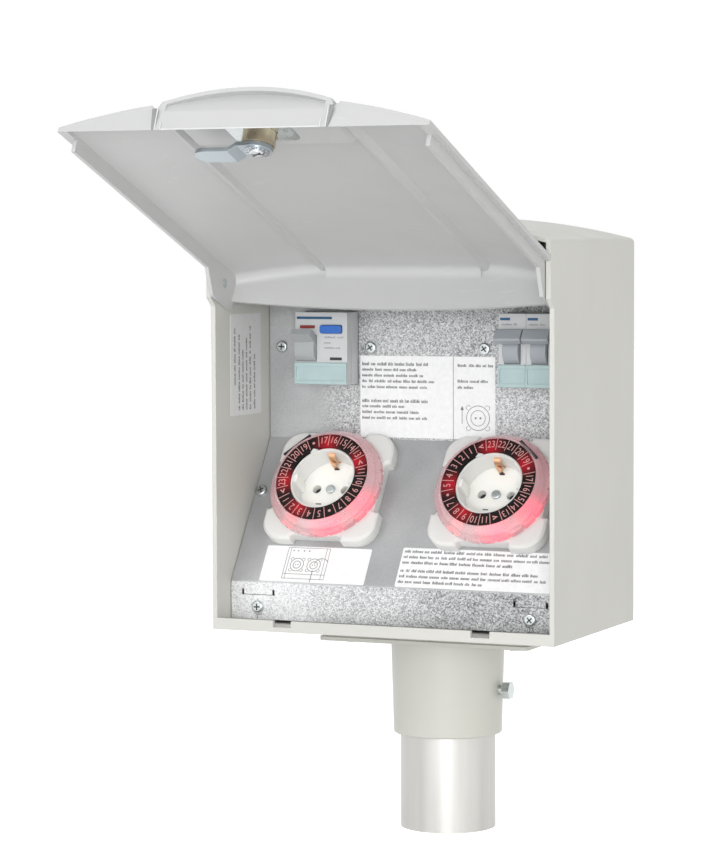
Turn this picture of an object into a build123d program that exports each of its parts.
from build123d import *
import os
from math import cos, radians, sin, sqrt

# Garden socket post: a weatherproof box on a post tube, with two socket timers behind a lid.
# Millimetres, +X to the right as seen from the front, +Y to the back, +Z up.
# The origin is on the post tube's axis, at the tube's lower end. The lid stands open.

OVERRUN = 1.0                    # how far every cut runs past the face it opens

# Post tube, collar and clamp
TUBE_DIAMETER = 60.0
TUBE_WALL = 2.5
TUBE_SHOWN = 60.0                # free length under the collar
TUBE_CLEARANCE = 0.1             # radial, in the collar
COLLAR_HEIGHT = 59.6
COLLAR_FOOT_RADIUS = 34.25
COLLAR_HEAD_RADIUS = 35.9
COLLAR_EDGE = 1.0                # rounding of the lower rim
FLANGE_WIDTH = 140.6
FLANGE_REACH_FRONT = 43.6
FLANGE_REACH_BACK = 36.0
FLANGE_THICKNESS = 2.4
FLANGE_CORNER = 4.5
FLANGE_SCREW_X = 55.0
FLANGE_SCREW_Y = 26.0
CABLE_HOLE_DIAMETER = 50.0
CLAMP_RISE = 28.1                # bolt axis above the collar's foot
CLAMP_THREAD_DIAMETER = 6.0
CLAMP_FLATS = 10.0
CLAMP_HEAD_THICKNESS = 5.0
CLAMP_STANDOFF = 3.0             # bare thread between collar and head
THREAD_CLEARANCE = 0.05          # radial, for every screw in its hole

# Enclosure
BOX_WIDTH = 224.0
BOX_DEPTH = 146.0
ARCH_RISE = 14.0
WALL = 3.0
ROOF = 2.5
BACK_CORNER = 6.0
EAVES_CORNER = 3.0
CHEEK_STEP = 6.0                 # the cheeks beside the lid stand this far forward
CHEEK_START_DROP = 40.0          # from the eaves down to where the cheeks begin
CHEEK_FULL_DROP = 34.5
LIP_HEIGHT = 7.0
LIP_THICKNESS = 2.5
NOTCH_WIDTH = 12.0
NOTCH_X = 65.0
TUBE_SETBACK = 107.0             # front rim to tube axis
PAD_HEIGHT = 10.0
PAD_WIDTH = 132.0
PAD_MARGIN = 3.4                 # the pad stands back from the flange's edges

# Cover plates: an upright sheet behind the devices, a bent one with the slope and the skirt
PLATE_THICKNESS = 1.2
PLATE_SIDE_GAP = 0.5
PLATE_SETBACK = 75.5
PLATE_TOP_DROP = 8.5             # below the eaves
UPPER_BEND_HEIGHT = 114.2
SKIRT_SETBACK = 18.6
LOWER_BEND_HEIGHT = 28.2
SKIRT_BOTTOM = 5.0
BEND_RADIUS = 1.2
TAB_SLOT_HEIGHT = 21.7
TAB_SLOT_WIDTH = 1.5
TAB_SLOT_DEPTH = 3.5
TAB_INSET = 22.0
TAB_LENGTH = 20.8

# Screws and the posts that take them
SCREW_DIAMETER = 4.0
SCREW_HEAD_DIAMETER = 7.6
SCREW_HEAD_HEIGHT = 2.4
SCREW_LENGTH = 12.0
POST_DIAMETER = 10.0
UPPER_SCREW_HEIGHT = 171.5
OUTER_SCREW_INSET = 12.5         # insets count from the box's sides
INNER_SCREW_INSET = 73.7
SLOPE_SCREW_INSET = 7.8
SLOPE_SCREW_DROP = 39.5          # down the slope from the upper bend
SKIRT_SCREW_INSET = 22.0
SKIRT_SCREW_HEIGHT = 12.8
BOSS_DEPTH = 12.0

# Mounting rails
RAIL_WIDTH = 35.0
RAIL_CHANNEL = 27.0
RAIL_DEPTH = 7.5
RAIL_SHEET = 1.0
RAIL_LENGTH = 42.0
RAIL_SETBACK = 120.5             # front rim to the rail's front face
RAIL_HEIGHT = 171.2
RAIL_SCREW_SPACING = 30.0

# Modular devices
DEVICE_SETBACK = 59.0            # front rim to the devices' faces
NOSE_HEIGHT = 45.0
DEVICE_HEIGHT = 85.0
ROOM_OVER_DEVICES = 24.8         # from the devices' tops to the eaves
DEVICE_BACK = 5.0                # housing behind the rail's front face
DEVICE_GAP = 0.8                 # plate to the devices' shoulders
DEVICE_CHAMFER = 5.0
WINDOW_WIDTH = 36.5
WINDOW_HEIGHT = 46.0
RCD_INSET = 46.9
RCD_WIDTH = 35.4
BREAKER_INSET = 40.45
BREAKER_WIDTH = 17.7
BREAKER_GAP = 0.2
HOOK_REACH = 3.0
HOOK_THICKNESS = 2.0
RAIL_FIT = 0.2
SEAM_SETBACK = 6.2               # side seam behind the face
SEAM_WIDTH = 0.8
SEAM_DEPTH = 0.5
TERMINAL_BORE = 6.0
TERMINAL_BORE_DEPTH = 12.0
TERMINAL_INSET = 9.0

# Toggles and the test button
DRUM_RADIUS = 9.5
DRUM_DEPTH = 5.5                 # drum axis behind the face
DRUM_CLEARANCE = 0.4
TOGGLE_TILT = 37.5               # degrees above the level, switched on
TOGGLE_REACH = 17.0
TOGGLE_ROOT = 5.2
TOGGLE_TIP = 4.0
RCD_TOGGLE_WIDTH = 13.4
RCD_TOGGLE_OFFSET = -10.2
BREAKER_TOGGLE_WIDTH = 10.0
GRIP_WIDTH = 17.2
GRIP_HEIGHT = 8.6
GRIP_DEPTH = 5.0
BUTTON_WIDTH = 14.4
BUTTON_HEIGHT = 5.0
BUTTON_LENGTH = 7.0
BUTTON_PROUD = 2.0
BUTTON_TRAVEL = 1.6
BUTTON_CLEARANCE = 0.25
BUTTON_OFFSET = 7.0
BUTTON_RISE = 12.0
RCD_HOLDER_HEIGHT = 13.7
BREAKER_HOLDER_HEIGHT = 14.0
HOLDER_THICKNESS = 1.6
HOLDER_RECESS = 0.7
HOLDER_RIM = 1.2
HOLDER_GAP = 0.1

# Socket timers, lengths along the slope's normal count from the plate's face
TIMER_PLACE_share = 0.50734      # of the room from the middle to the side wall
TIMER_DROP = 38.8                # from the upper bend down the slope to the timer's middle
TIMER_WIDTH = 76.0
TIMER_CORNER = 13.0
TIMER_BASE_HEIGHT = 9.0
TIMER_BASE_EDGE = 1.5
TIMER_WAIST = 3.5                # the sides draw in this far between the corners
TIMER_WAIST_LENGTH = 34.0
TIMER_BODY_RADIUS = 30.0
TIMER_BODY_DEPTH = 36.0
TIMER_HOLE_CLEARANCE = 1.0
INSERT_RADIUS = 21.4
INSERT_TOP = 18.5
INSERT_DEPTH = 20.0
INSERT_CLEARANCE = 0.1
INSERT_EDGE = 1.0
SOCKET_RADIUS = 19.9
SOCKET_FLOOR = 3.5
PIN_HOLE_RADIUS = 2.8
PIN_HOLE_SPACING = 19.0
PIN_HOLE_DEPTH = 18.0
KEY_WIDTH = 5.4
KEY_DEPTH = 2.2
SOCKET_SCREW_DIAMETER = 3.0
SOCKET_SCREW_HEAD = 6.0
SOCKET_SCREW_HEAD_HEIGHT = 1.6
SOCKET_SCREW_LENGTH = 10.0
CLIP_WIDTH = 4.4
CLIP_SHEET = 0.8
CLIP_BULGE = 2.6
CLIP_HEIGHT = 11.0
RUNNING_GAP = 0.3                # between the turning rings and what they turn on
DIAL_OUTER_RADIUS = 30.0
DIAL_TOP = 20.0
DIAL_WALL = 1.6
DIAL_WEB = 2.2
RING_OUTER_RADIUS = 36.8
RING_TOP_RADIUS = 31.4
RING_TOP = 20.3
RING_SHOULDER = 12.8
RING_GRIPS = 24
RING_GRIP_RADIUS = 1.5
RING_GRIP_DEPTH = 0.6
LAMP_DIAMETER = 4.0
LAMP_LENGTH = 9.0
LAMP_CLEARANCE = 0.2
LAMP_ORBIT = 33.2
LAMP_ANGLES = (-35.0, -125.0)    # degrees, seen from the front

# Supply terminal block on the back wall
TERMINAL_COUNT = 5
TERMINAL_PITCH = 9.0
TERMINAL_HEIGHT = 22.0
TERMINAL_DEPTH = 20.0
TERMINAL_LEVEL = 62.0
TERMINAL_STEP = 6.0
TERMINAL_ENTRY = 4.6
TERMINAL_ENTRY_DEPTH = 8.0

# Lid, lengths along it count from the hinge axis, heights count outwards from that axis
HINGE_SETBACK = 7.3
HINGE_DROP = 26.0                # below the eaves
LID_OPENING = 112.0              # degrees from closed
LID_OVERHANG = 2.2               # past the box's foot when closed
LID_WALL = 2.5
LID_SEAT_GAP = 0.3
LID_STOP_GAP = 0.4
SKIRT_HEIGHT = 2.9
PANEL_RISE = 17.6
BAND_HALF_WIDTH = 51.5
BAND_EDGE = 25.6
BAND_CROWN = 34.4
BAND_TAIL_EDGE = 21.4
BAND_TAIL_CROWN = 21.8
GROOVE_X = 53.5
GROOVE_LEVEL = 20.4
GROOVE_INNER_RUN = 2.0
GROOVE_INNER_RISE = 5.2
GROOVE_OUTER_RUN = 3.5
GROOVE_OUTER_RISE = 3.2
CHEEK_GAP = 0.5                  # ears to cheeks
EAR_THICKNESS = 2.5
EAR_DROP = 12.75
EAR_LENGTH = 12.3
EAR_SLOPE = 12.0
LID_FLANGE_LEVEL = 1.0
LID_FLANGE_INSET = 14.7          # insets count from the lid's far end
TAIL_EDGE = 7.0                  # free edge of the hinge-end strip below the axis
TAIL_REACH = 25.0                # strip's inner face behind the axis, at mid-width
TAIL_SWEEP = 12.5                # how much nearer it is at the ears
TAIL_LEAN_share = 0.165
TAIL_CORNER = 8.5
GRIP_HALF_WIDTH = 48.0
GRIP_FOOT = 11.5
GRIP_BACK = 10.7
GRIP_RISE = 20.0
POCKET_HALF_WIDTH = 44.0
POCKET_START_INSET = 44.7
POCKET_END_INSET = 14.7
POCKET_FLOOR = 21.0
POCKET_WALL = 3.0
POCKET_FLARE = 6.0
POCKET_CORNER = 3.0

# Hinge pins
PIN_DIAMETER = 6.0
PIN_SEAT_DEPTH = 2.2
PIN_CLEARANCE = 0.05

# Cam lock
LOCK_INSET = 28.0
LOCK_BODY_DIAMETER = 19.0
LOCK_BODY_END = 8.2
LOCK_HEAD_DIAMETER = 23.0
LOCK_HEAD_HEIGHT = 2.5
LOCK_FIT = 0.1
LOCK_CLIP_WIDTH = 39.0
LOCK_CLIP_HEIGHT = 24.0
LOCK_CLIP_SHEET = 1.2
LOCK_CLIP_SLOT = 14.0
PLUG_DIAMETER = 11.0
PLUG_CLEARANCE = 0.05
PLUG_GROOVE_DEPTH = 1.2
PLUG_SQUARE = 7.0
KEY_SLOT_DEPTH = 8.0
KEY_SLOT_WIDTH = 2.0
KEY_SLOT_LENGTH = 7.0
CAM_LEVEL = 5.6
CAM_SHEET = 2.4
CAM_RADIUS = 8.7
CAM_REACH = 37.0
CAM_WIDTH = 15.0
CAM_CRANK = 3.4
CAM_CRANK_START = 9.5
CAM_CRANK_LENGTH = 5.0
CAM_SCREW_HEAD = 9.0
CAM_SCREW_HEAD_HEIGHT = 2.4
CAM_SCREW_DIAMETER = 4.0
CAM_SCREW_LENGTH = 6.0
CAM_SLOT_WIDTH = 1.2
CAM_SLOT_DEPTH = 1.0

# Levels and faces worked out from the sizes above
COLLAR_FOOT = TUBE_SHOWN
FLANGE_FOOT = COLLAR_FOOT + COLLAR_HEIGHT
PAD_FOOT = FLANGE_FOOT + FLANGE_THICKNESS
BOX_FOOT = PAD_FOOT + PAD_HEIGHT
HALF_WIDTH = BOX_WIDTH / 2
BOX_SIDE_HEIGHT = RAIL_HEIGHT + DEVICE_HEIGHT / 2 + ROOM_OVER_DEVICES
CHEEK_START = BOX_SIDE_HEIGHT - CHEEK_START_DROP
CHEEK_FULL = BOX_SIDE_HEIGHT - CHEEK_FULL_DROP
PLATE_TOP = BOX_SIDE_HEIGHT - PLATE_TOP_DROP
TAB_X = HALF_WIDTH - TAB_INSET
OUTER_SCREW_X = HALF_WIDTH - OUTER_SCREW_INSET
INNER_SCREW_X = HALF_WIDTH - INNER_SCREW_INSET
SLOPE_SCREW_X = HALF_WIDTH - SLOPE_SCREW_INSET
SKIRT_SCREW_X = HALF_WIDTH - SKIRT_SCREW_INSET
RCD_X = RCD_INSET - HALF_WIDTH
BREAKER_X = HALF_WIDTH - BREAKER_INSET
TIMER_X = (HALF_WIDTH - WALL) * TIMER_PLACE_share
FRONT = -TUBE_SETBACK
BACK = FRONT + BOX_DEPTH
TUBE_RADIUS = TUBE_DIAMETER / 2
PLATE_FACE = FRONT + PLATE_SETBACK
SKIRT_FACE = FRONT + SKIRT_SETBACK
DEVICE_FACE = FRONT + DEVICE_SETBACK
RAIL_FACE = FRONT + RAIL_SETBACK
RAIL_LEVEL = BOX_FOOT + RAIL_HEIGHT
SLOPE_RUN = PLATE_SETBACK - SKIRT_SETBACK
SLOPE_FALL = UPPER_BEND_HEIGHT - LOWER_BEND_HEIGHT
SLOPE_LENGTH = sqrt(SLOPE_RUN ** 2 + SLOPE_FALL ** 2)
SLOPE_RUN_share = SLOPE_RUN / SLOPE_LENGTH
SLOPE_FALL_share = SLOPE_FALL / SLOPE_LENGTH

SCREW_RADIUS = SCREW_DIAMETER / 2
DRUM_SETBACK = DEVICE_FACE + DRUM_DEPTH

EAR_OUTER = HALF_WIDTH - WALL - CHEEK_GAP
EAR_INNER = EAR_OUTER - EAR_THICKNESS
HINGE_Y = FRONT + HINGE_SETBACK
HINGE_HEIGHT = BOX_SIDE_HEIGHT - HINGE_DROP
HINGE_Z = BOX_FOOT + HINGE_HEIGHT
LID_LENGTH = HINGE_HEIGHT + LID_OVERHANG
LID_FLANGE_END = LID_LENGTH - LID_FLANGE_INSET
LOCK_REACH = LID_LENGTH - LOCK_INSET
POCKET_START = LID_LENGTH - POCKET_START_INSET
POCKET_END = LID_LENGTH - POCKET_END_INSET
LID_RIM = HINGE_SETBACK + LID_SEAT_GAP
SKIRT_TOP = LID_RIM + SKIRT_HEIGHT
LID_HIGH = BAND_CROWN + LID_WALL
PLUG_RADIUS = PLUG_DIAMETER / 2
BLOCK_LEVEL = POCKET_FLOOR - POCKET_WALL


def block(x0, x1, y0, y1, z0, z1):
    """A box between two corners."""
    middle = Pos((x0 + x1) / 2, (y0 + y1) / 2, (z0 + z1) / 2)
    return middle * Box(x1 - x0, y1 - y0, z1 - z0)


def prism_x(points, x0, x1):
    """A closed outline of (y, z) points, drawn out from x0 to x1."""
    face = Plane.YZ.offset(x0) * make_face(Polyline(*points, close=True))
    return extrude(face, amount=x1 - x0)


def prism_y(face, y0, y1):
    """A face of (x, z) points, drawn out from y0 to y1."""
    return extrude(Plane.XZ.offset(-y1) * face, amount=y1 - y0)


def rod_x(radius, x0, x1, y, z):
    """A round bar along X."""
    return extrude(Plane.YZ.offset(x0) * Pos(y, z) * Circle(radius), amount=x1 - x0)


def rod_y(radius, y0, y1, x, z):
    """A round bar along Y."""
    return prism_y(Pos(x, z) * Circle(radius), y0, y1)


def disc(radius, z0, z1):
    """A round bar on the Z axis."""
    return extrude(Plane.XY.offset(z0) * Circle(radius), amount=z1 - z0)


def turned(points):
    """A solid of revolution about Z from a closed outline of (radius, z) points."""
    return revolve(Plane.XZ * make_face(Polyline(*points, close=True)), Axis.Z)


def pan_screw(diameter, length, head_diameter, head_height):
    """A pan-head screw: head seated on the XY plane, thread running down."""
    head = disc(head_diameter / 2, 0, head_height)
    head = fillet(head.edges().group_by(Axis.Z)[-1], radius=head_height / 2)
    return head + disc(diameter / 2, -length, 0)


def slope_plane(x, drop):
    """The plate's sloping face at x, a distance down the slope: Y up the slope, Z out of it."""
    y = PLATE_FACE - drop * SLOPE_RUN_share
    z = BOX_FOOT + UPPER_BEND_HEIGHT - drop * SLOPE_FALL_share
    normal = (0, -SLOPE_FALL_share, SLOPE_RUN_share)
    return Plane(origin=(x, y, z), x_dir=(1, 0, 0), z_dir=normal)


def front_plane(x, y, z):
    """An upright plane facing the front: X to the right, Y up, Z forward."""
    return Plane(origin=(x, y, z), x_dir=(1, 0, 0), z_dir=(0, -1, 0))


def lid_plane():
    """The lid's own plane on the hinge axis: Y towards the hinge end, Z outwards."""
    angle = radians(LID_OPENING)
    outwards = (0, -cos(angle), sin(angle))
    return Plane(origin=(0, HINGE_Y, HINGE_Z), x_dir=(1, 0, 0), z_dir=outwards)


# Post tube, collar and clamp


def tube():
    """The top end of the post tube, up to the collar's ledge."""
    pipe = disc(TUBE_RADIUS, 0, FLANGE_FOOT)
    return pipe - disc(TUBE_RADIUS - TUBE_WALL, -OVERRUN, FLANGE_FOOT + OVERRUN)


def clamp_height():
    return COLLAR_FOOT + CLAMP_RISE


def collar():
    """A tapered sleeve that is cast in one with the flange plate under the box."""
    sleeve = turned(
        [(0, COLLAR_FOOT), (COLLAR_FOOT_RADIUS, COLLAR_FOOT), (COLLAR_HEAD_RADIUS, FLANGE_FOOT),
         (COLLAR_HEAD_RADIUS, PAD_FOOT), (0, PAD_FOOT)]
    )
    sleeve = fillet(sleeve.edges().group_by(Axis.Z)[0], radius=COLLAR_EDGE)
    half = FLANGE_WIDTH / 2
    plate = block(-half, half, -FLANGE_REACH_FRONT, FLANGE_REACH_BACK, FLANGE_FOOT, PAD_FOOT)
    plate = fillet(plate.edges().filter_by(Axis.Z), radius=FLANGE_CORNER)
    solid = sleeve + plate
    solid -= disc(TUBE_RADIUS + TUBE_CLEARANCE, COLLAR_FOOT - OVERRUN, FLANGE_FOOT)
    solid -= disc(CABLE_HOLE_DIAMETER / 2, FLANGE_FOOT - OVERRUN, PAD_FOOT + OVERRUN)
    thread = CLAMP_THREAD_DIAMETER / 2 + THREAD_CLEARANCE
    solid -= rod_x(thread, TUBE_RADIUS, COLLAR_HEAD_RADIUS + OVERRUN, 0, clamp_height())
    for x, y in flange_screw_places():
        hole = disc(SCREW_RADIUS + THREAD_CLEARANCE, FLANGE_FOOT - OVERRUN, PAD_FOOT + OVERRUN)
        solid -= Pos(x, y) * hole
    return solid


def clamp_bolt():
    """A hexagon bolt through the collar's right side that bears on the tube."""
    rise_share = CLAMP_RISE / COLLAR_HEIGHT
    skin = COLLAR_FOOT_RADIUS + (COLLAR_HEAD_RADIUS - COLLAR_FOOT_RADIUS) * rise_share
    start = skin + CLAMP_STANDOFF
    flats = Pos(0, clamp_height()) * RegularPolygon(CLAMP_FLATS / 2, 6, major_radius=False)
    head = extrude(Plane.YZ.offset(start) * flats, amount=CLAMP_HEAD_THICKNESS)
    shank = rod_x(CLAMP_THREAD_DIAMETER / 2, TUBE_RADIUS + THREAD_CLEARANCE, start, 0, clamp_height())
    return head + shank


def flange_screw_places():
    return [(x, y) for x in (-FLANGE_SCREW_X, FLANGE_SCREW_X) for y in (-FLANGE_SCREW_Y, FLANGE_SCREW_Y)]


def flange_screws():
    """Four screws from below, through the flange into the box's pad."""
    screw = pan_screw(SCREW_DIAMETER, SCREW_LENGTH, SCREW_HEAD_DIAMETER, SCREW_HEAD_HEIGHT)
    screw = Rot(180, 0, 0) * screw
    return Compound([Pos(x, y, FLANGE_FOOT) * screw for x, y in flange_screw_places()])


# Enclosure


def arch_face(half_width, foot, drop):
    """Front view of the box: straight sides and an arched top, lowered by drop."""
    side = BOX_FOOT + BOX_SIDE_HEIGHT - drop
    arch = ThreePointArc((-half_width, side), (0, side + ARCH_RISE), (half_width, side))
    sides = Polyline((half_width, side), (half_width, foot), (-half_width, foot), (-half_width, side))
    return make_face([arch, sides])


def enclosure_outside():
    """The box's outer form: side view with stepped cheeks, cut by the arched front view."""
    top = BOX_FOOT + BOX_SIDE_HEIGHT + ARCH_RISE + OVERRUN
    step = FRONT - CHEEK_STEP
    side_view = [
        (FRONT, BOX_FOOT), (BACK, BOX_FOOT), (BACK, top), (step, top),
        (step, BOX_FOOT + CHEEK_FULL), (FRONT, BOX_FOOT + CHEEK_START),
    ]
    solid = prism_x(side_view, -HALF_WIDTH, HALF_WIDTH)
    front_view = prism_y(arch_face(HALF_WIDTH, BOX_FOOT, 0), step - OVERRUN, BACK + OVERRUN)
    solid = solid & front_view
    solid = fillet(solid.edges().filter_by(Axis.Z).group_by(Axis.Y)[-1], radius=BACK_CORNER)
    return fillet(solid.edges().filter_by(Axis.Y).group_by(Axis.Z)[-1], radius=EAVES_CORNER)


def enclosure_room():
    """The space inside the walls, open to the front above the lip."""
    inner = HALF_WIDTH - WALL
    start = FRONT - CHEEK_STEP - OVERRUN
    room = prism_y(arch_face(HALF_WIDTH, BOX_FOOT + WALL, ROOF), start, BACK - WALL)
    room &= block(-inner, inner, start, BACK, BOX_FOOT, BOX_FOOT + BOX_SIDE_HEIGHT + ARCH_RISE)
    room = fillet(room.edges().filter_by(Axis.Z).group_by(Axis.Y)[-1], radius=BACK_CORNER - WALL)
    lip = block(-inner, inner, start, FRONT + LIP_THICKNESS, BOX_FOOT, BOX_FOOT + LIP_HEIGHT)
    for x in (-NOTCH_X, NOTCH_X):
        half = NOTCH_WIDTH / 2
        lip -= block(x - half, x + half, start, FRONT + BOX_DEPTH, BOX_FOOT, BOX_FOOT + BOX_DEPTH)
    return room - lip


def upper_screw_places():
    return [(x, BOX_FOOT + UPPER_SCREW_HEIGHT) for x in
            (-OUTER_SCREW_X, -INNER_SCREW_X, INNER_SCREW_X, OUTER_SCREW_X)]


def upper_screw_planes():
    """Seats of the four screws in the upright sheet."""
    return [front_plane(x, PLATE_FACE, z) for x, z in upper_screw_places()]


def lower_screw_planes():
    """Seats of the bent sheet's screws: two on the slope, two on the skirt."""
    planes = []
    for side in (-1, 1):
        planes.append(slope_plane(side * SLOPE_SCREW_X, SLOPE_SCREW_DROP))
        planes.append(front_plane(side * SKIRT_SCREW_X, SKIRT_FACE, BOX_FOOT + SKIRT_SCREW_HEIGHT))
    return planes


def screw_posts():
    """Posts on the back wall, and bosses on the sides and floor, that carry the plate."""
    behind = PLATE_FACE + PLATE_THICKNESS
    inner = HALF_WIDTH - WALL
    posts = [rod_y(POST_DIAMETER / 2, behind, BACK - WALL, x, z) for x, z in upper_screw_places()]
    half = POST_DIAMETER / 2
    for side in (-1, 1):
        start = SLOPE_SCREW_X - half
        boss = block(start, inner, -half, half, -BOSS_DEPTH - PLATE_THICKNESS, -PLATE_THICKNESS)
        boss = slope_plane(0, SLOPE_SCREW_DROP).location * boss
        posts.append(boss if side > 0 else mirror(boss, Plane.YZ))
        x = side * SKIRT_SCREW_X
        seat = SKIRT_FACE + PLATE_THICKNESS
        top = BOX_FOOT + SKIRT_SCREW_HEIGHT + half
        posts.append(block(x - half, x + half, seat, seat + BOSS_DEPTH, BOX_FOOT + WALL, top))
    return posts


def rail_screw_places():
    return [(x + side * RAIL_SCREW_SPACING / 2, RAIL_LEVEL)
            for x in (RCD_X, BREAKER_X) for side in (-1, 1)]


def enclosure_shell():
    """The moulded box with its pad, cable hole, lip notches, posts and pin seats."""
    solid = enclosure_outside() - enclosure_room()
    half = PAD_WIDTH / 2
    front = PAD_MARGIN - FLANGE_REACH_FRONT
    back = FLANGE_REACH_BACK - PAD_MARGIN
    solid += block(-half, half, front, back, PAD_FOOT, BOX_FOOT)
    for post in screw_posts():
        solid += post
    rail_back = RAIL_FACE + RAIL_DEPTH
    for x, z in rail_screw_places():
        solid += rod_y(POST_DIAMETER / 2, rail_back, BACK - WALL, x, z)
    solid -= disc(CABLE_HOLE_DIAMETER / 2, PAD_FOOT - OVERRUN, BOX_FOOT + WALL + OVERRUN)
    hole = disc(SCREW_RADIUS + THREAD_CLEARANCE, -SCREW_LENGTH - OVERRUN, 0)
    for seat in upper_screw_planes() + lower_screw_planes():
        solid -= seat.location * hole
    for x, z in rail_screw_places():
        solid -= front_plane(x, rail_back, z).location * hole
    for x, y in flange_screw_places():
        solid -= Pos(x, y, PAD_FOOT) * Rot(180, 0, 0) * hole
    inner = HALF_WIDTH - WALL
    for side in (-1, 1):
        ends = sorted((side * (inner - OVERRUN), side * (inner + PIN_SEAT_DEPTH)))
        solid -= rod_x(PIN_DIAMETER / 2, ends[0], ends[1], HINGE_Y, HINGE_Z)
    return solid


# Cover plates


def bend_lag():
    """How much lower a bend lies on a sheet's rear face than on its front face."""
    return PLATE_THICKNESS * (1 - SLOPE_FALL_share) / SLOPE_RUN_share


def plate_blank(face, rear):
    """A sheet as wide as the box's inside, from the outline of its front and rear faces."""
    half = HALF_WIDTH - WALL - PLATE_SIDE_GAP
    return prism_x([(y, BOX_FOOT + z) for y, z in face + rear], -half, half)


def screw_holes(seats):
    hole = disc(SCREW_RADIUS + THREAD_CLEARANCE, -PLATE_THICKNESS - OVERRUN, OVERRUN)
    return [seat.location * hole for seat in seats]


def cover_plate():
    """The upright galvanised sheet with its device windows; its foot is mitred on the slope."""
    behind = PLATE_FACE + PLATE_THICKNESS
    sheet = plate_blank([(PLATE_FACE, PLATE_TOP), (PLATE_FACE, UPPER_BEND_HEIGHT)],
                        [(behind, UPPER_BEND_HEIGHT - bend_lag()), (behind, PLATE_TOP)])
    for x in (RCD_X, BREAKER_X):
        half = WINDOW_WIDTH / 2
        low, high = RAIL_LEVEL - WINDOW_HEIGHT / 2, RAIL_LEVEL + WINDOW_HEIGHT / 2
        sheet -= block(x - half, x + half, PLATE_FACE - OVERRUN, behind + OVERRUN, low, high)
    for hole in screw_holes(upper_screw_planes()):
        sheet -= hole
    return sheet


def timer_plate():
    """The bent galvanised sheet: slope with the timers' holes, and skirt with tab slots."""
    lag = bend_lag()
    face = [(PLATE_FACE, UPPER_BEND_HEIGHT), (SKIRT_FACE, LOWER_BEND_HEIGHT), (SKIRT_FACE, SKIRT_BOTTOM)]
    rear = [(SKIRT_FACE + PLATE_THICKNESS, SKIRT_BOTTOM),
            (SKIRT_FACE + PLATE_THICKNESS, LOWER_BEND_HEIGHT - lag),
            (PLATE_FACE + PLATE_THICKNESS, UPPER_BEND_HEIGHT - lag)]
    sheet = plate_blank(face, rear)
    for (y, z), radius in ((face[1], BEND_RADIUS + PLATE_THICKNESS), (rear[1], BEND_RADIUS)):
        bend = sheet.edges().filter_by(Axis.X).sort_by_distance((0, y, BOX_FOOT + z))[0]
        sheet = fillet(bend, radius=radius)
    through = PLATE_THICKNESS + OVERRUN
    round_hole = disc(TIMER_BODY_RADIUS + TIMER_HOLE_CLEARANCE, -through, OVERRUN)
    for x in (-TIMER_X, TIMER_X):
        sheet -= slope_plane(x, TIMER_DROP).location * round_hole
    for hole in screw_holes(lower_screw_planes()):
        sheet -= hole
    for x in (-TAB_X, TAB_X):
        for end in (-1, 1):
            slot = Box(TAB_SLOT_WIDTH, TAB_SLOT_DEPTH, through + through)
            place = front_plane(x + end * TAB_LENGTH / 2, SKIRT_FACE, BOX_FOOT + TAB_SLOT_HEIGHT)
            sheet -= place.location * slot
    return sheet


def cover_screws():
    """Eight pan-head screws that hold the two sheets."""
    screw = pan_screw(SCREW_DIAMETER, SCREW_LENGTH, SCREW_HEAD_DIAMETER, SCREW_HEAD_HEIGHT)
    return Compound([seat.location * screw for seat in upper_screw_planes() + lower_screw_planes()])


# Mounting rails and modular devices


def rail(x):
    """A short top-hat rail, open channel to the front."""
    half, channel = RAIL_WIDTH / 2, RAIL_CHANNEL / 2
    outline = [
        (0, half), (0, channel - RAIL_SHEET), (RAIL_DEPTH - RAIL_SHEET, channel - RAIL_SHEET),
        (RAIL_DEPTH - RAIL_SHEET, RAIL_SHEET - channel), (0, RAIL_SHEET - channel), (0, -half),
        (RAIL_SHEET, -half), (RAIL_SHEET, -channel), (RAIL_DEPTH, -channel), (RAIL_DEPTH, channel),
        (RAIL_SHEET, channel), (RAIL_SHEET, half),
    ]
    points = [(RAIL_FACE + y, RAIL_LEVEL + z) for y, z in outline]
    solid = prism_x(points, x - RAIL_LENGTH / 2, x + RAIL_LENGTH / 2)
    for place, z in rail_screw_places():
        rear = RAIL_FACE + RAIL_DEPTH
        solid -= rod_y(SCREW_RADIUS + THREAD_CLEARANCE, RAIL_FACE, rear + OVERRUN, place, z)
    return solid


def rail_screws():
    """Two screws in the channel of each rail."""
    screw = pan_screw(SCREW_DIAMETER, SCREW_LENGTH, SCREW_HEAD_DIAMETER, SCREW_HEAD_HEIGHT)
    seat = RAIL_FACE + RAIL_DEPTH - RAIL_SHEET
    return Compound([front_plane(x, seat, z).location * screw for x, z in rail_screw_places()])


def device_profile():
    """Side view of a modular device: nose through the plate, body, hooks on the rail."""
    nose = NOSE_HEIGHT / 2
    body = DEVICE_HEIGHT / 2
    shoulder = PLATE_FACE + PLATE_THICKNESS + DEVICE_GAP
    back = RAIL_FACE + DEVICE_BACK
    slot = RAIL_WIDTH / 2 + RAIL_FIT
    hook_front = RAIL_FACE + RAIL_SHEET + RAIL_FIT
    hook_back = hook_front + HOOK_THICKNESS
    upper = [
        (DEVICE_FACE, nose), (shoulder, nose), (shoulder, body - DEVICE_CHAMFER),
        (shoulder + DEVICE_CHAMFER, body), (back, body), (back, slot),
        (hook_back, slot), (hook_back, slot - HOOK_REACH), (hook_front, slot - HOOK_REACH),
        (hook_front, slot), (RAIL_FACE, slot),
    ]
    lower = [(y, -z) for y, z in reversed(upper)]
    return [(y, RAIL_LEVEL + z) for y, z in upper + lower]


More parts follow.
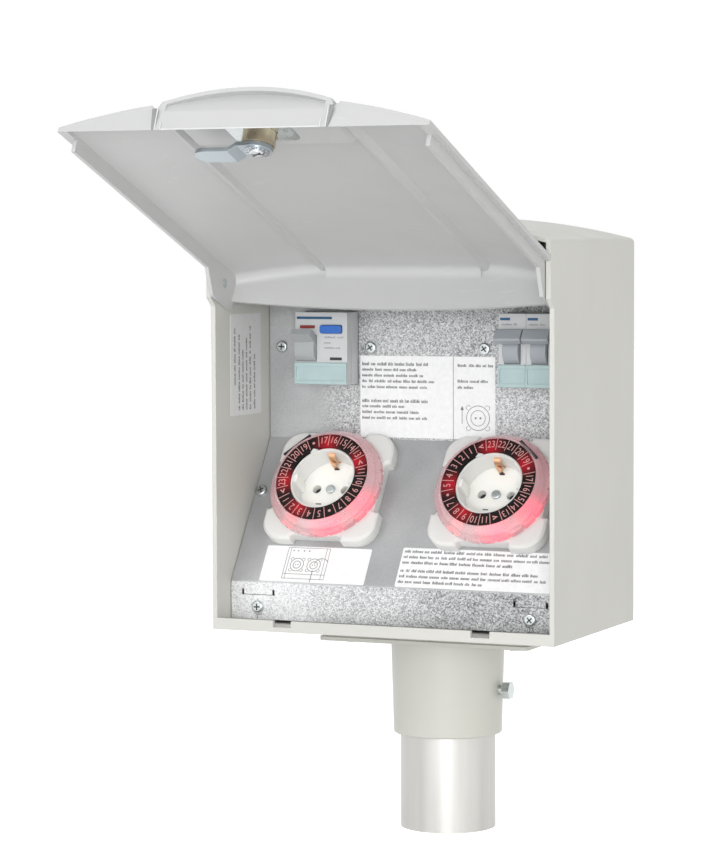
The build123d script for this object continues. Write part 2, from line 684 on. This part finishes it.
def device_housing(x, width, poles):
    """A modular housing with side seams and one pair of terminal bores per pole."""
    half = width / 2
    solid = prism_x(device_profile(), x - half, x + half)
    seam = DEVICE_FACE + SEAM_SETBACK
    nose = NOSE_HEIGHT / 2
    for side in (-1, 1):
        edge = x + side * half
        ends = sorted((edge, edge - side * SEAM_DEPTH))
        solid -= block(ends[0], ends[1], seam, seam + SEAM_WIDTH, RAIL_LEVEL - nose, RAIL_LEVEL + nose)
    shoulder = PLATE_FACE + PLATE_THICKNESS + DEVICE_GAP
    rise = DEVICE_HEIGHT / 2 - TERMINAL_INSET
    for pole in range(poles):
        place = x - half + (pole + 1 / 2) * width / poles
        for z in (RAIL_LEVEL - rise, RAIL_LEVEL + rise):
            depth = shoulder + TERMINAL_BORE_DEPTH
            solid -= rod_y(TERMINAL_BORE / 2, shoulder - OVERRUN, depth, place, z)
    return solid


def drum_slot(x, width):
    """The round slot that a toggle's drum turns in."""
    half = width / 2 + DRUM_CLEARANCE
    return rod_x(DRUM_RADIUS + DRUM_CLEARANCE, x - half, x + half, DRUM_SETBACK, RAIL_LEVEL)


def button_form(grow, back, front):
    """The test button's outline, grown all round, between two depths of the device's face."""
    x, z = RCD_X + BUTTON_OFFSET, RAIL_LEVEL + BUTTON_RISE
    outline = RectangleRounded(BUTTON_WIDTH + 2 * grow, BUTTON_HEIGHT + 2 * grow, BUTTON_HEIGHT / 4)
    return prism_y(Pos(x, z) * outline, DEVICE_FACE - front, DEVICE_FACE + back)


def rcd_housing():
    """The residual-current device's housing, two modules wide."""
    solid = device_housing(RCD_X, RCD_WIDTH, 2)
    solid -= drum_slot(RCD_X + RCD_TOGGLE_OFFSET, RCD_TOGGLE_WIDTH)
    room = BUTTON_LENGTH - BUTTON_PROUD + BUTTON_TRAVEL + BUTTON_CLEARANCE
    return solid - button_form(BUTTON_CLEARANCE, room, OVERRUN)


def rcd_test_button():
    return button_form(0, BUTTON_LENGTH - BUTTON_PROUD, BUTTON_PROUD)


def breaker_x(side):
    return BREAKER_X + side * (BREAKER_WIDTH + BREAKER_GAP) / 2


def breaker_housing(side):
    """One single-pole circuit breaker's housing."""
    x = breaker_x(side)
    return device_housing(x, BREAKER_WIDTH, 1) - drum_slot(x, BREAKER_TOGGLE_WIDTH)


def toggle_blank(x, width):
    """A drum with a tapered lever, drawn pointing forward and tilted up to its on position."""
    half = width / 2
    drum = rod_x(DRUM_RADIUS, x - half, x + half, 0, 0)
    lever = prism_x(
        [(0, TOGGLE_ROOT / 2), (-TOGGLE_REACH, TOGGLE_TIP / 2), (-TOGGLE_REACH, -TOGGLE_TIP / 2),
         (0, -TOGGLE_ROOT / 2)], x - half, x + half
    )
    return drum + lever


def place_toggle(solid):
    return Pos(0, DRUM_SETBACK, RAIL_LEVEL) * Rot(-TOGGLE_TILT, 0, 0) * solid


def rcd_toggle():
    return place_toggle(toggle_blank(RCD_X + RCD_TOGGLE_OFFSET, RCD_TOGGLE_WIDTH))


def breaker_toggle(side):
    """A breaker's narrow lever with a grip bar as wide as the module."""
    x = breaker_x(side)
    grip = Pos(x, GRIP_DEPTH / 2 - TOGGLE_REACH, 0) * Box(GRIP_WIDTH, GRIP_DEPTH, GRIP_HEIGHT)
    grip = fillet(grip.edges().filter_by(Axis.X), radius=GRIP_DEPTH / 4)
    return place_toggle(toggle_blank(x, BREAKER_TOGGLE_WIDTH) + grip)


def label_holder(x, width, height):
    """A clear label cover on the lower part of a device's face, with a sunk label field."""
    half = width / 2
    foot = RAIL_LEVEL - NOSE_HEIGHT / 2
    back = DEVICE_FACE - HOLDER_GAP
    front = back - HOLDER_THICKNESS
    cover = block(x - half, x + half, front, back, foot, foot + height)
    cover = fillet(cover.edges().filter_by(Axis.X).group_by(Axis.Y)[0], radius=HOLDER_THICKNESS / 2)
    inner = half - HOLDER_RIM
    low, high = foot + HOLDER_RIM + HOLDER_RIM, foot + height - HOLDER_RIM - HOLDER_RIM
    return cover - block(x - inner, x + inner, front - OVERRUN, front + HOLDER_RECESS, low, high)


def supply_terminals():
    """The terminal block for the ground cable, on the back wall above the cable hole."""
    half = TERMINAL_COUNT * TERMINAL_PITCH / 2
    wall = BACK - WALL
    foot = BOX_FOOT + TERMINAL_LEVEL
    middle = foot + TERMINAL_HEIGHT / 2
    step = TERMINAL_STEP
    outline = [
        (wall, foot), (wall, foot + TERMINAL_HEIGHT), (wall - TERMINAL_DEPTH + step, foot + TERMINAL_HEIGHT),
        (wall - TERMINAL_DEPTH, foot + TERMINAL_HEIGHT - step), (wall - TERMINAL_DEPTH, foot + step),
        (wall - TERMINAL_DEPTH + step, foot),
    ]
    solid = prism_x(outline, -half, half)
    for number in range(TERMINAL_COUNT):
        x = (number + 1 / 2) * TERMINAL_PITCH - half
        depth = wall - TERMINAL_DEPTH + TERMINAL_ENTRY_DEPTH
        solid -= rod_y(TERMINAL_ENTRY / 2, wall - TERMINAL_DEPTH - OVERRUN, depth, x, middle)
        entry = disc(TERMINAL_ENTRY / 2, foot - OVERRUN, foot + TERMINAL_ENTRY_DEPTH)
        solid -= Pos(x, wall - TERMINAL_DEPTH / 2) * entry
    return solid


# Socket timers, drawn flat: XY is the plate's face, Z comes out of it


def insert_bore():
    """The bore that takes the socket, from its foot behind the plate to above the base."""
    foot = INSERT_TOP - INSERT_DEPTH - PIN_HOLE_DEPTH
    return disc(INSERT_RADIUS + INSERT_CLEARANCE, foot, TIMER_BASE_HEIGHT + OVERRUN)


def timer_body(side):
    """The round housing of the timer's works, through the plate and behind it."""
    solid = disc(TIMER_BODY_RADIUS, -TIMER_BODY_DEPTH, 0) - insert_bore()
    return slope_plane(side * TIMER_X, TIMER_DROP).location * solid


def timer_base(side):
    """The timer's square base with drawn-in sides and lamp pockets."""
    base = extrude(RectangleRounded(TIMER_WIDTH, TIMER_WIDTH, TIMER_CORNER), amount=TIMER_BASE_HEIGHT)
    reach = TIMER_WIDTH / 2
    for turn in range(4):
        waist = Pos(0, reach) * RectangleRounded(TIMER_WAIST_LENGTH, 2 * TIMER_WAIST, TIMER_WAIST / 2)
        base -= Rot(0, 0, turn * 90) * extrude(waist, amount=TIMER_BASE_HEIGHT)
    base = chamfer(base.edges().group_by(Axis.Z)[-1], length=TIMER_BASE_EDGE)
    solid = base - insert_bore()
    for lamp in lamp_places():
        solid -= lamp * lamp_form(LAMP_CLEARANCE)
    return slope_plane(side * TIMER_X, TIMER_DROP).location * solid


def lamp_places():
    """Where the neon lamps lie in the base, under the clear ring."""
    level = TIMER_BASE_HEIGHT - LAMP_DIAMETER / 2 - LAMP_CLEARANCE
    return [Rot(0, 0, angle) * Pos(LAMP_ORBIT, 0, level) for angle in LAMP_ANGLES]


def lamp_form(grow):
    """A lamp's glass, or with grow its pocket, which is open upwards."""
    radius = LAMP_DIAMETER / 2 + grow
    half = LAMP_LENGTH / 2 + grow
    glass = extrude(Plane.XZ.offset(-half) * Circle(radius), amount=2 * half)
    if grow:
        return glass + block(-radius, radius, -half, half, 0, LAMP_DIAMETER)
    return glass


def neon_lamps(side):
    lamps = [slope_plane(side * TIMER_X, TIMER_DROP).location * place * lamp_form(0)
             for place in lamp_places()]
    return Compound(lamps)


def socket_insert(side):
    """The earthed socket: round cup with pin holes, key ribs and slots for the earth clips."""
    foot = INSERT_TOP - INSERT_DEPTH - PIN_HOLE_DEPTH
    cup = disc(INSERT_RADIUS, foot, INSERT_TOP)
    cup = fillet(cup.edges().group_by(Axis.Z)[-1], radius=INSERT_EDGE)
    cup -= disc(SOCKET_RADIUS, SOCKET_FLOOR, INSERT_TOP + OVERRUN)
    half = KEY_WIDTH / 2
    for turn in (0, 180):
        rib = block(SOCKET_RADIUS - KEY_DEPTH, SOCKET_RADIUS, -half, half, SOCKET_FLOOR, INSERT_TOP)
        cup += Rot(0, 0, turn) * (rib & disc(SOCKET_RADIUS, SOCKET_FLOOR, INSERT_TOP - INSERT_EDGE))
        hole = disc(PIN_HOLE_RADIUS, SOCKET_FLOOR - PIN_HOLE_DEPTH, SOCKET_FLOOR + OVERRUN)
        cup -= Rot(0, 0, turn) * Pos(PIN_HOLE_SPACING / 2, 0) * hole
    thread = SOCKET_SCREW_DIAMETER / 2 + THREAD_CLEARANCE
    cup -= disc(thread, SOCKET_FLOOR - SOCKET_SCREW_LENGTH - OVERRUN, SOCKET_FLOOR + OVERRUN)
    return slope_plane(side * TIMER_X, TIMER_DROP).location * cup


def socket_screws():
    """The screw in the middle of each socket's floor."""
    screw = pan_screw(SOCKET_SCREW_DIAMETER, SOCKET_SCREW_LENGTH, SOCKET_SCREW_HEAD,
                      SOCKET_SCREW_HEAD_HEIGHT)
    seats = [slope_plane(x, TIMER_DROP) for x in (-TIMER_X, TIMER_X)]
    return Compound([seat.location * Pos(0, 0, SOCKET_FLOOR) * screw for seat in seats])


def earth_clips(side):
    """Two sprung earth contacts, bowed inwards from the top and bottom of the socket's wall."""
    foot = SOCKET_FLOOR + RUNNING_GAP
    wall = sqrt(SOCKET_RADIUS ** 2 - (CLIP_WIDTH / 2) ** 2) - THREAD_CLEARANCE
    middle = foot + CLIP_HEIGHT / 2
    outer = ThreePointArc((wall, foot), (wall - CLIP_BULGE, middle), (wall, foot + CLIP_HEIGHT))
    inner = ThreePointArc((wall - CLIP_SHEET, foot), (wall - CLIP_BULGE - CLIP_SHEET, middle),
                          (wall - CLIP_SHEET, foot + CLIP_HEIGHT))
    ends = [Line((wall, foot), (wall - CLIP_SHEET, foot)),
            Line((wall, foot + CLIP_HEIGHT), (wall - CLIP_SHEET, foot + CLIP_HEIGHT))]
    half = CLIP_WIDTH / 2
    strip = extrude(Plane.YZ.offset(-half) * make_face([outer, inner] + ends), amount=CLIP_WIDTH)
    seat = slope_plane(side * TIMER_X, TIMER_DROP).location
    return Compound([seat * Rot(0, 0, turn) * strip for turn in (0, 180)])


def timer_dial(side):
    """The black hour ring: a flat top on two skirts that turn round the socket."""
    inner = INSERT_RADIUS + RUNNING_GAP
    foot = TIMER_BASE_HEIGHT + RUNNING_GAP
    web = DIAL_TOP - DIAL_WEB
    outline = [
        (inner, foot), (inner, DIAL_TOP), (DIAL_OUTER_RADIUS, DIAL_TOP), (DIAL_OUTER_RADIUS, foot),
        (DIAL_OUTER_RADIUS - DIAL_WALL, foot), (DIAL_OUTER_RADIUS - DIAL_WALL, web),
        (inner + DIAL_WALL, web), (inner + DIAL_WALL, foot),
    ]
    return slope_plane(side * TIMER_X, TIMER_DROP).location * turned(outline)


def timer_ring(side):
    """The clear setting ring round the hour ring, with grip flutes on its rim."""
    inner = DIAL_OUTER_RADIUS + RUNNING_GAP
    foot = TIMER_BASE_HEIGHT + RUNNING_GAP
    ring = turned([
        (inner, foot), (inner, RING_TOP), (RING_TOP_RADIUS, RING_TOP),
        (RING_OUTER_RADIUS, RING_SHOULDER), (RING_OUTER_RADIUS, foot),
    ])
    flute = disc(RING_GRIP_RADIUS, foot - OVERRUN, RING_TOP)
    orbit = RING_OUTER_RADIUS + RING_GRIP_RADIUS - RING_GRIP_DEPTH
    for number in range(RING_GRIPS):
        ring -= Rot(0, 0, number * 360 / RING_GRIPS) * Pos(orbit, 0) * flute
    return slope_plane(side * TIMER_X, TIMER_DROP).location * ring


# Lid, drawn flat: X across, Y towards the hinge end, Z outwards, hinge axis on X


def along(face, start, end):
    """A face of (x, height) points, drawn along the lid between two distances from the hinge."""
    return extrude(Plane.XZ.offset(start) * face, amount=end - start)


def across(points, x0, x1):
    """An outline of (distance from hinge, height) points, drawn across the lid."""
    return prism_x([(-reach, height) for reach, height in points], x0, x1)


def lid_tail_reach():
    """How far behind the hinge the lid's form starts, with room to spare."""
    return TAIL_REACH + BAND_CROWN


def crowned_face(half_width, edge, crown, foot):
    """A face with straight sides and an arched top between edge and crown heights."""
    arch = ThreePointArc((-half_width, edge), (0, crown), (half_width, edge))
    sides = Polyline((half_width, edge), (half_width, foot), (-half_width, foot), (-half_width, edge))
    return make_face([arch, sides])


def tail_cutter(inset, foot):
    """What lies in front of the hinge-end strip: bowed in plan, leaning back outwards."""
    reach = TAIL_REACH + LID_WALL - inset
    side = HALF_WIDTH
    near = reach - TAIL_SWEEP * (side / EAR_INNER) ** 2
    lean = (foot + TAIL_EDGE) * TAIL_LEAN_share
    arc = ThreePointArc((-side, near + lean), (0, reach + lean), (side, near + lean))
    end = -LID_LENGTH - OVERRUN
    rest = Polyline((side, near + lean), (side, end), (-side, end), (-side, near + lean))
    face = Plane.XY.offset(foot) * make_face([arc, rest])
    rise = LID_HIGH + OVERRUN - foot
    slant = Vector(0, TAIL_LEAN_share, 1)
    return extrude(face, amount=rise * slant.length, dir=slant)


def rounded_tail(solid, radius):
    """Rounds the long edge where the outer skin turns down into the hinge-end strip."""
    edge = solid.edges().filter_by(lambda e: e.center().Y > 0 and e.bounding_box().size.X > BAND_HALF_WIDTH)
    return fillet(edge.sort_by(Axis.Z)[-1], radius=radius)


def lid_form(inset, foot, end):
    """The lid's solid outer form as far as end, or with inset the form one wall further in."""
    tail = lid_tail_reach()
    cutter = tail_cutter(inset, foot)
    radius = TAIL_CORNER - inset
    panels = along(crowned_face(HALF_WIDTH, SKIRT_TOP - inset, SKIRT_TOP + PANEL_RISE - inset, foot),
                   -tail, end)
    panels = rounded_tail(panels & cutter, radius)
    middle = block(-BAND_HALF_WIDTH, BAND_HALF_WIDTH, -end - OVERRUN, tail, foot - OVERRUN, LID_HIGH)
    band = loft([
        Plane.XZ.offset(-tail) * crowned_face(BAND_HALF_WIDTH, BAND_TAIL_EDGE - inset,
                                              BAND_TAIL_CROWN - inset, foot),
        Plane.XZ.offset(end) * crowned_face(BAND_HALF_WIDTH, BAND_EDGE - inset, BAND_CROWN - inset, foot),
    ])
    band = rounded_tail(band & cutter, radius)
    return (panels - middle) + band


def groove(inset, side):
    """The valley beside the raised band, or with inset the ridge that it makes inside."""
    rise = LID_HIGH - GROOVE_LEVEL
    inner = GROOVE_X - rise * GROOVE_INNER_RUN / GROOVE_INNER_RISE - inset
    outer = GROOVE_X + rise * GROOVE_OUTER_RUN / GROOVE_OUTER_RISE + inset
    foot = GROOVE_LEVEL - inset
    points = [(inner, LID_HIGH), (GROOVE_X - inset / 2, foot), (outer, LID_HIGH)]
    if inset:
        points.insert(2, (GROOVE_X + inset / 2, foot))
    face = make_face(Polyline(*[(side * x, z) for x, z in points], close=True))
    return along(face, -lid_tail_reach(), LID_LENGTH + OVERRUN)


def grip_slope(inset):
    """Side outline of the finger grip under the band's front edge, or of its inner wall."""
    length = sqrt(GRIP_BACK ** 2 + GRIP_RISE ** 2)
    foot = GRIP_FOOT - inset * GRIP_BACK / length
    start = LID_LENGTH - inset * GRIP_RISE / length
    return [
        (LID_LENGTH + OVERRUN, foot), (start, foot), (start - GRIP_BACK, foot + GRIP_RISE),
        (start - GRIP_BACK, LID_HIGH), (LID_LENGTH + OVERRUN, LID_HIGH),
    ]


def lid_room():
    """The hollow inside the lid, with the lock block, grip wall and groove ridges left standing."""
    foot = -EAR_DROP - OVERRUN
    room = lid_form(LID_WALL, foot, LID_LENGTH - LID_WALL)
    room &= block(-EAR_INNER, EAR_INNER, -LID_LENGTH, lid_tail_reach(), foot, LID_HIGH)
    for side in (-1, 1):
        room -= groove(LID_WALL, side)
    half = POCKET_HALF_WIDTH + POCKET_WALL
    flare = half + POCKET_FLARE
    lock_block = make_face(Polyline((-half, BLOCK_LEVEL), (half, BLOCK_LEVEL),
                                    (flare, BLOCK_LEVEL + POCKET_FLARE), (flare, LID_HIGH),
                                    (-flare, LID_HIGH), (-flare, BLOCK_LEVEL + POCKET_FLARE), close=True))
    room -= along(lock_block, POCKET_START - POCKET_WALL, LID_LENGTH)
    grip = GRIP_HALF_WIDTH + LID_WALL
    return room - across(grip_slope(LID_WALL), -grip, grip)


def lid_trims():
    """What is cut off the form: skirt beside the cheeks, flange, strip edge and far rim."""
    high, low = LID_HIGH + OVERRUN, -EAR_DROP - OVERRUN
    tail = -lid_tail_reach()
    far = LID_LENGTH + OVERRUN
    wide = HALF_WIDTH + OVERRUN
    angle = radians(LID_OPENING)
    stop = HINGE_SETBACK + CHEEK_STEP + LID_STOP_GAP
    beside = [(tail, low), ((stop - low * cos(angle)) / sin(angle), low),
              ((stop - high * cos(angle)) / sin(angle), high), (tail, high)]
    under = [(EAR_LENGTH, low), (EAR_LENGTH, -EAR_DROP), (EAR_LENGTH + EAR_SLOPE, LID_FLANGE_LEVEL),
             (LID_FLANGE_END, LID_FLANGE_LEVEL), (LID_FLANGE_END, LID_RIM), (far, LID_RIM), (far, low)]
    trims = [across(under, -wide, wide)]
    trims.append(block(-EAR_INNER, EAR_INNER, -far, -tail, low, -TAIL_EDGE))
    for x0, x1 in ((-wide, -EAR_OUTER), (EAR_OUTER, wide)):
        trims.append(across(beside, x0, x1))
        trims.append(block(x0, x1, -far, -tail, low, LID_RIM))
    return trims


def lid_shell():
    """The moulded lid: arched panels, raised band, hinge-end strip, flanges and ears."""
    solid = lid_form(0, -EAR_DROP, LID_LENGTH)
    for side in (-1, 1):
        solid -= groove(0, side)
    solid -= lid_room()
    for trim in lid_trims():
        solid -= trim
    under_skin = lid_form(LID_WALL, 0, LID_LENGTH + OVERRUN)
    solid -= across(grip_slope(0), -GRIP_HALF_WIDTH, GRIP_HALF_WIDTH) & under_skin
    half = POCKET_HALF_WIDTH
    pocket = block(-half, half, -POCKET_END, -POCKET_START, POCKET_FLOOR, LID_HIGH + OVERRUN)
    solid -= fillet(pocket.edges().filter_by(Axis.Z), radius=POCKET_CORNER)
    lock_hole = disc(LOCK_BODY_DIAMETER / 2 + LOCK_FIT, BLOCK_LEVEL - OVERRUN, POCKET_FLOOR + OVERRUN)
    solid -= Pos(0, -LOCK_REACH) * lock_hole
    bore = PIN_DIAMETER / 2 + PIN_CLEARANCE
    solid -= rod_x(bore, -HALF_WIDTH, HALF_WIDTH, 0, 0)
    return lid_plane().location * solid


def hinge_pin(side):
    """A short pin in the box's wall that the lid's ear turns on."""
    start = HALF_WIDTH - WALL + PIN_SEAT_DEPTH
    ends = sorted((side * start, side * EAR_INNER))
    return rod_x(PIN_DIAMETER / 2, ends[0], ends[1], HINGE_Y, HINGE_Z)


# Cam lock, drawn on the lid's plane with its axis along Z


def lock_place():
    return lid_plane().location * Pos(0, -LOCK_REACH)


def lock_body():
    """The lock's round body with its head in the lid's pocket, bored for the plug."""
    body = disc(LOCK_BODY_DIAMETER / 2, LOCK_BODY_END, POCKET_FLOOR)
    head = disc(LOCK_HEAD_DIAMETER / 2, POCKET_FLOOR, POCKET_FLOOR + LOCK_HEAD_HEIGHT)
    head = fillet(head.edges().group_by(Axis.Z)[-1], radius=LOCK_HEAD_HEIGHT / 3)
    bore = PLUG_RADIUS + PLUG_CLEARANCE
    solid = body + head - disc(bore, LOCK_BODY_END - OVERRUN, LID_HIGH)
    flat = (LOCK_CLIP_SLOT - THREAD_CLEARANCE) / 2
    low, high = clip_levels()
    reach = LOCK_BODY_DIAMETER
    for x0, x1 in ((-reach, -flat), (flat, reach)):
        solid -= block(x0, x1, -reach, reach, low - LOCK_FIT, high)
    return lock_place() * solid


def clip_levels():
    return BLOCK_LEVEL - LOCK_CLIP_SHEET, BLOCK_LEVEL


def lock_clip():
    """The sheet clip that slides over the body's flats and holds it against the lid."""
    low, high = clip_levels()
    half, tall = LOCK_CLIP_WIDTH / 2, LOCK_CLIP_HEIGHT / 2
    clip = block(-half, half, -tall, tall, low, high)
    clip = fillet(clip.edges().filter_by(Axis.Z), radius=POCKET_CORNER)
    slot = LOCK_CLIP_SLOT / 2
    clip -= block(-slot, slot, -tall - OVERRUN, LOCK_BODY_DIAMETER / 2 + LOCK_FIT, low - OVERRUN,
                  high + OVERRUN)
    return lock_place() * clip


def lock_plug():
    """The turning plug: key slot outside, square end inside."""
    top = POCKET_FLOOR + LOCK_HEAD_HEIGHT
    plug = disc(PLUG_RADIUS, CAM_LEVEL + CAM_SHEET, top)
    plug += block(-PLUG_SQUARE / 2, PLUG_SQUARE / 2, -PLUG_SQUARE / 2, PLUG_SQUARE / 2,
                  CAM_LEVEL, CAM_LEVEL + CAM_SHEET)
    plug -= block(-KEY_SLOT_WIDTH / 2, KEY_SLOT_WIDTH / 2, -KEY_SLOT_LENGTH / 2, KEY_SLOT_LENGTH / 2,
                  top - KEY_SLOT_DEPTH, top + OVERRUN)
    hole = disc(CAM_SCREW_DIAMETER / 2 + THREAD_CLEARANCE, CAM_LEVEL - OVERRUN,
                CAM_LEVEL + CAM_SCREW_LENGTH + OVERRUN)
    return lock_place() * (plug - hole)


def lock_cam():
    """The cranked cam: round eye with a square hole, and a round-ended tongue to the left."""
    eye, sheet = CAM_LEVEL, CAM_SHEET
    tongue = CAM_LEVEL - CAM_CRANK
    far = CAM_CRANK_START + CAM_CRANK_LENGTH
    side_view = Polyline(
        (CAM_RADIUS, eye), (CAM_RADIUS, eye + sheet), (-CAM_CRANK_START, eye + sheet),
        (-far, tongue + sheet), (-CAM_REACH, tongue + sheet), (-CAM_REACH, tongue),
        (-far, tongue), (-CAM_CRANK_START, eye), close=True
    )
    bent = extrude(Plane.XZ.offset(-CAM_WIDTH) * make_face(side_view), amount=2 * CAM_WIDTH)
    round_end = CAM_REACH - CAM_WIDTH / 2
    plan = Circle(CAM_RADIUS) + Pos(-round_end / 2, 0) * Rectangle(round_end, CAM_WIDTH)
    plan += Pos(-round_end, 0) * Circle(CAM_WIDTH / 2)
    cam = bent & extrude(plan, amount=LID_HIGH)
    square = PLUG_SQUARE / 2 + THREAD_CLEARANCE
    cam -= block(-square, square, -square, square, CAM_LEVEL - OVERRUN, CAM_LEVEL + CAM_SHEET + OVERRUN)
    return lock_place() * cam


def lock_cam_screw():
    """The slotted screw that holds the cam on the plug."""
    screw = pan_screw(CAM_SCREW_DIAMETER, CAM_SCREW_LENGTH, CAM_SCREW_HEAD, CAM_SCREW_HEAD_HEIGHT)
    top = CAM_SCREW_HEAD_HEIGHT
    screw -= block(-CAM_SCREW_HEAD, CAM_SCREW_HEAD, -CAM_SLOT_WIDTH / 2, CAM_SLOT_WIDTH / 2,
                   top - CAM_SLOT_DEPTH, top + OVERRUN)
    return lock_place() * Pos(0, 0, CAM_LEVEL) * Rot(180, 0, 0) * screw


def model():
    """Every piece under its name."""
    pieces = {
        "tube": tube(),
        "collar": collar(),
        "clamp_bolt": clamp_bolt(),
        "flange_screws": flange_screws(),
        "enclosure_shell": enclosure_shell(),
        "cover_plate": cover_plate(),
        "timer_plate": timer_plate(),
        "cover_screws": cover_screws(),
        "rail_left": rail(RCD_X),
        "rail_right": rail(BREAKER_X),
        "rail_screws": rail_screws(),
        "supply_terminals": supply_terminals(),
        "rcd_housing": rcd_housing(),
        "rcd_toggle": rcd_toggle(),
        "rcd_test_button": rcd_test_button(),
        "rcd_label_holder": label_holder(RCD_X, RCD_WIDTH, RCD_HOLDER_HEIGHT),
        "socket_screws": socket_screws(),
        "lid_shell": lid_shell(),
        "lock_body": lock_body(),
        "lock_clip": lock_clip(),
        "lock_plug": lock_plug(),
        "lock_cam": lock_cam(),
        "lock_cam_screw": lock_cam_screw(),
    }
    for name, side in (("left", -1), ("right", 1)):
        pieces["breaker_housing_" + name] = breaker_housing(side)
        pieces["breaker_toggle_" + name] = breaker_toggle(side)
        pieces["breaker_label_holder_" + name] = label_holder(
            breaker_x(side), BREAKER_WIDTH, BREAKER_HOLDER_HEIGHT)
        pieces["timer_base_" + name] = timer_base(side)
        pieces["timer_body_" + name] = timer_body(side)
        pieces["neon_lamps_" + name] = neon_lamps(side)
        pieces["socket_insert_" + name] = socket_insert(side)
        pieces["earth_clips_" + name] = earth_clips(side)
        pieces["timer_dial_" + name] = timer_dial(side)
        pieces["timer_ring_" + name] = timer_ring(side)
        pieces["hinge_pin_" + name] = hinge_pin(side)
    return pieces


os.makedirs("parts", exist_ok=True)
for node, piece in model().items():
    export_step(piece, "parts/" + node + ".step")
